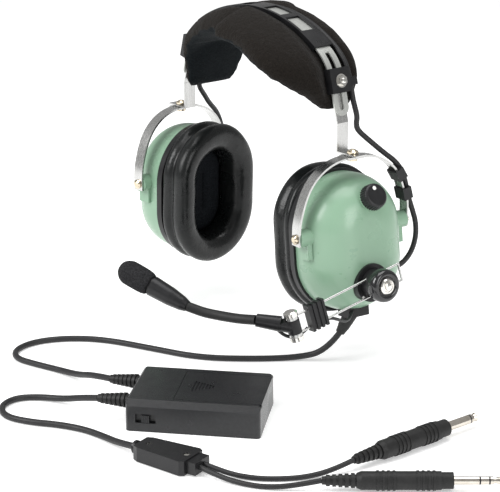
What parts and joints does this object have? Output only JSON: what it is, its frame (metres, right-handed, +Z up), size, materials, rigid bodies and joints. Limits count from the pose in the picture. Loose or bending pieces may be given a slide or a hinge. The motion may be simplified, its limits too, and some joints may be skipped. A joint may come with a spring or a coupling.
{
  "type": "aviation headset",
  "caption": "Over-ear aviation headset with green ear domes, slotted spring headband, boom microphone, and a cord set with battery box, splitter and plugs.",
  "frame": {"origin": "midway between the faces of the two ear seals, on the line through the ears", "axes": "+X to the wearer's left, -Y to the wearer's front, +Z up"},
  "size_m": [0.4508, 0.3127, 0.2521],
  "materials": {
    "dome_green": "satin moulded shell",
    "black_plastic": "moulded black",
    "soft_black": "soft-touch black",
    "seal_vinyl": "smooth vinyl skin",
    "foam": "open-cell foam",
    "circuit_board": "green laminate",
    "bright_steel": "bright rolled steel",
    "spring_steel": "pale satin spring steel",
    "chrome": "polished",
    "vinyl_black": "black vinyl",
    "fleece_brown": "brown-black pile",
    "cord_black": "matt jacket",
    "case_black": "fine-grained moulding",
    "cell_jacket": "printed jacket, plain",
    "pin_brass": "nickelled brass"
  },
  "bodies": {
    "left_cup": {"left_dome_shell": "dome_green", "left_seal_plate": "black_plastic", "left_ear_seal": "seal_vinyl", "left_ear_liner": "foam", "left_speaker": "black_plastic", "left_noise_board": "circuit_board", "boom_base": "black_plastic", "crossover_cup": "cord_black", "strain_reliefs": "cord_black", "main_cord": "cord_black", "splitter_cord": "cord_black", "battery_case_top": "case_black", "battery_case_bottom": "case_black", "batteries": "cell_jacket", "battery_board": "circuit_board", "splitter_top": "black_plastic", "splitter_bottom": "black_plastic", "cord_set_screws": "chrome", "plug_1_lead": "cord_black", "plug_2_lead": "cord_black", "plug_1_handle": "soft_black", "plug_2_handle": "soft_black", "plug_1_pin": "pin_brass", "plug_2_pin": "pin_brass", "plug_insulators": "black_plastic"},
    "volume_knob": {"volume_knob": "soft_black"},
    "boom_mount": {"boom_bracket": "black_plastic"},
    "boom_clamp": {"boom_clamp_knob": "soft_black"},
    "boom_slide": {"boom_wires": "bright_steel", "boom_wire_clip": "soft_black", "elbow_bolt": "chrome"},
    "boom": {"boom_arm": "black_plastic", "flex_boom": "soft_black", "mic_housing": "black_plastic", "mic_capsule": "bright_steel", "mic_muff": "foam"},
    "left_yoke": {"left_yoke": "bright_steel", "left_yoke_screws": "chrome", "yoke_cable_clips": "black_plastic", "crossover_yoke": "cord_black"},
    "left_arm": {"left_arm": "bright_steel", "left_slider_block": "black_plastic", "left_slider_screw": "chrome"},
    "headband": {"headband_spring": "spring_steel", "band_guide": "vinyl_black", "head_pad": "fleece_brown", "crossover_band": "cord_black"},
    "right_arm": {"right_arm": "bright_steel", "right_slider_block": "black_plastic", "right_slider_screw": "chrome"},
    "right_yoke": {"right_yoke": "bright_steel", "right_yoke_screws": "chrome"},
    "right_cup": {"right_dome_shell": "dome_green", "right_seal_plate": "black_plastic", "right_ear_seal": "seal_vinyl", "right_ear_liner": "foam", "right_speaker": "black_plastic", "right_noise_board": "circuit_board"},
    "power_switch": {"power_switch": "soft_black"},
    "battery_cover": {"battery_cover": "case_black"}
  },
  "joints": [
    {"name": "volume_turn", "type": "hinge", "parent": "left_cup", "child": "volume_knob", "pos_m": [0.11902, 0.00069, 0.03692], "axis": [0.8352, -0.103, 0.5402], "range_deg": [-140, 140]},
    {"name": "boom_swivel", "type": "hinge", "parent": "left_cup", "child": "boom_mount", "pos_m": [0.13396, -0.00619, -0.02204], "axis": [-0.9851, 0.121, -0.122], "range_deg": [-10, 55]},
    {"name": "clamp_turn", "type": "hinge", "parent": "left_cup", "child": "boom_clamp", "pos_m": [0.13396, -0.00619, -0.02204], "axis": [0.9851, -0.121, 0.122], "range_deg": [-180, 180]},
    {"name": "boom_reach", "type": "slide", "parent": "boom_mount", "child": "boom_slide", "axis": [-0.092, -0.9704, -0.2231], "range_m": [-0.012, 0.01]},
    {"name": "boom_elbow", "type": "hinge", "parent": "boom_slide", "child": "boom", "pos_m": [0.1271, -0.07897, -0.03879], "axis": [-0.145, -0.209, 0.9671], "range_deg": [-40, 40]},
    {"name": "left_cup_tilt", "type": "hinge", "parent": "left_cup", "child": "left_yoke", "pos_m": [0.1, 0, 0.01], "axis": [0.1219, 0.9925, 0], "range_deg": [-10, 8]},
    {"name": "left_cup_swivel", "type": "hinge", "parent": "left_yoke", "child": "left_arm", "pos_m": [0.1, 0, 0.066], "axis": [0, 0, 1], "range_deg": [-12, 12]},
    {"name": "left_length", "type": "slide", "parent": "left_arm", "child": "headband", "axis": [-0.259, 0, 0.9659], "range_m": [-0.002, 0.018]},
    {"name": "right_length", "type": "slide", "parent": "headband", "child": "right_arm", "axis": [-0.259, 0, -0.9659], "range_m": [-0.002, 0.018]},
    {"name": "right_cup_swivel", "type": "hinge", "parent": "right_arm", "child": "right_yoke", "pos_m": [-0.1, 0, 0.066], "axis": [0, 0, 1], "range_deg": [-12, 12]},
    {"name": "right_cup_tilt", "type": "hinge", "parent": "right_yoke", "child": "right_cup", "pos_m": [-0.1, 0, 0.01], "axis": [-0.1219, 0.9925, 0], "range_deg": [-10, 10]},
    {"name": "switch_slide", "type": "slide", "parent": "left_cup", "child": "power_switch", "axis": [0.7549, 0.6559, 0], "range_m": [-0.004, 0.004]},
    {"name": "cover_slide", "type": "slide", "parent": "left_cup", "child": "battery_cover", "axis": [0.7549, 0.6559, 0], "range_m": [0, 0.062]}
  ]
}
